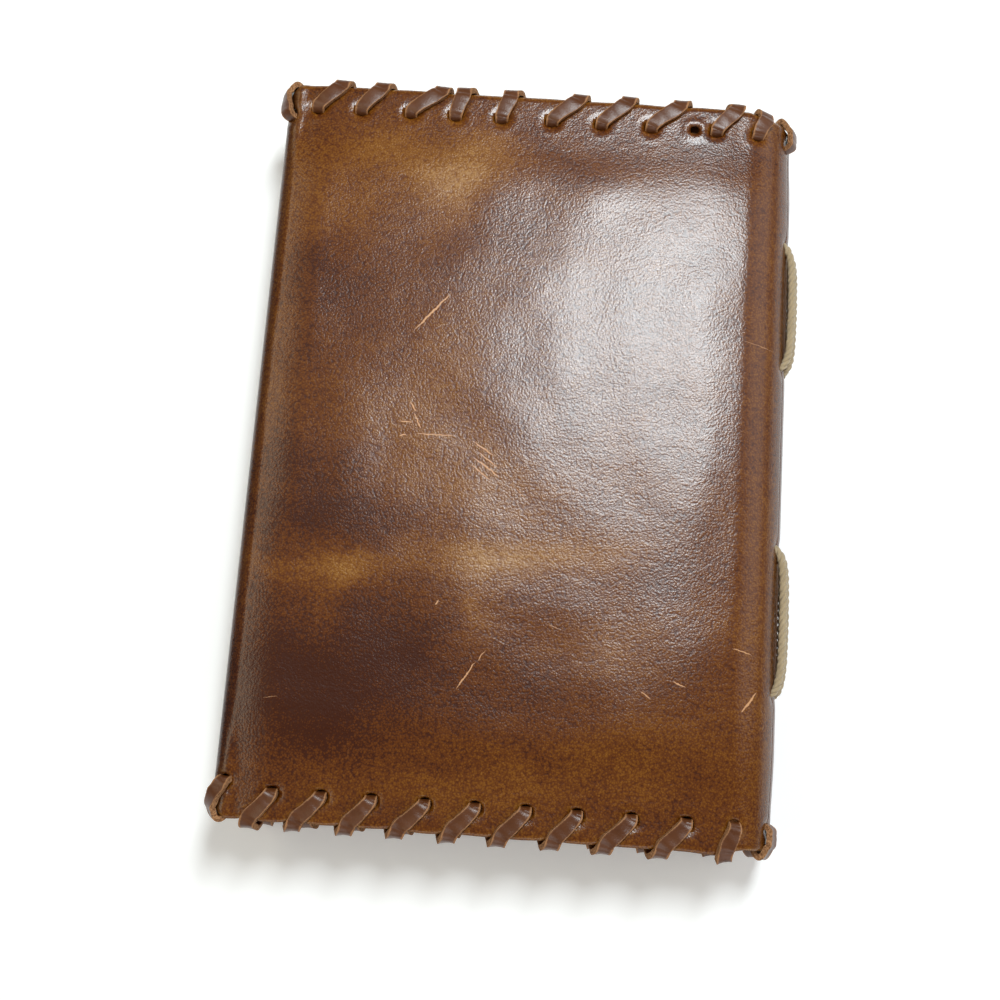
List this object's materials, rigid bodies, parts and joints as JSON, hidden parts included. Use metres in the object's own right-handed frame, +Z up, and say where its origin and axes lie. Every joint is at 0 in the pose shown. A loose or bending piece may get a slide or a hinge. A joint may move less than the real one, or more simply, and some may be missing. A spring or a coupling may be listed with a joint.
{
  "type": "leather journal",
  "caption": "Closed leather-bound journal with rolled fore-edge, laced head and tail edges and long-stitch cord sewing on a rounded spine.",
  "frame": {"origin": "middle of the front cover's flat outer face, which the journal rests on", "axes": "+X from the fore-edge to the spine, +Y from tail to head, +Z up from the front cover to the back cover"},
  "size_m": [0.1316, 0.1806, 0.0258],
  "materials": {
    "cover_leather": "waxed pull-up cowhide, fine pebble grain, soft sheen, scuffed",
    "spine_leather": "the same leather, rubbed duller on the spine",
    "lace": "flat leather thong with raw lighter edges",
    "board": "grey stiffening card",
    "paper": "cream cotton paper with a slight tooth",
    "sewing_cord": "twisted undyed cotton cord"
  },
  "bodies": {
    "front_cover": {"front_cover_leather": "cover_leather", "front_board": "board", "head_lace_front": "lace", "head_shoulder_lace_front": "lace", "head_corner_lace_front": "lace", "tail_lace_front": "lace", "tail_shoulder_lace_front": "lace", "tail_corner_lace_front": "lace"},
    "text_1": {"spine_leather_1": "spine_leather", "sewing_cord_1": "sewing_cord", "sheet_1_1": "paper", "sheet_1_2": "paper", "sheet_1_3": "paper", "sheet_1_4": "paper", "sheet_1_5": "paper", "head_spine_lace_front": "lace", "tail_spine_lace_front": "lace"},
    "text_2": {"spine_leather_2": "spine_leather", "sewing_cord_2": "sewing_cord", "sheet_2_1": "paper", "sheet_2_2": "paper", "sheet_2_3": "paper", "sheet_2_4": "paper", "sheet_2_5": "paper"},
    "text_3": {"spine_leather_3": "spine_leather", "sewing_cord_3": "sewing_cord", "sheet_3_1": "paper", "sheet_3_2": "paper", "sheet_3_3": "paper", "sheet_3_4": "paper", "sheet_3_5": "paper"},
    "text_4": {"spine_leather_4": "spine_leather", "sewing_cord_4": "sewing_cord", "sheet_4_1": "paper", "sheet_4_2": "paper", "sheet_4_3": "paper", "sheet_4_4": "paper", "sheet_4_5": "paper", "head_spine_lace_back": "lace", "tail_spine_lace_back": "lace"},
    "back_cover": {"back_cover_leather": "cover_leather", "back_board": "board", "head_lace_back": "lace", "head_shoulder_lace_back": "lace", "head_corner_lace_back": "lace", "tail_lace_back": "lace", "tail_shoulder_lace_back": "lace", "tail_corner_lace_back": "lace"}
  },
  "joints": [
    {"name": "front_cover_hinge", "type": "hinge", "parent": "front_cover", "child": "text_1", "pos_m": [0.06221, 0, 0.00431], "axis": [0, 1, 0], "range_deg": [0, 135]},
    {"name": "spine_flex_1", "type": "hinge", "parent": "text_1", "child": "text_2", "pos_m": [0.06435, 0, 0.00856], "axis": [0, 1, 0], "range_deg": [0, 20]},
    {"name": "spine_flex_2", "type": "hinge", "parent": "text_2", "child": "text_3", "pos_m": [0.065, 0, 0.0128], "axis": [0, 1, 0], "range_deg": [0, 20]},
    {"name": "spine_flex_3", "type": "hinge", "parent": "text_3", "child": "text_4", "pos_m": [0.06435, 0, 0.01705], "axis": [0, 1, 0], "range_deg": [0, 20]},
    {"name": "back_cover_hinge", "type": "hinge", "parent": "text_4", "child": "back_cover", "pos_m": [0.06221, 0, 0.02129], "axis": [0, 1, 0], "range_deg": [0, 135]}
  ],
  "couplings": [
    {"joint": "spine_flex_2", "follows": "spine_flex_1", "ratio": 1},
    {"joint": "spine_flex_3", "follows": "spine_flex_1", "ratio": 1}
  ]
}
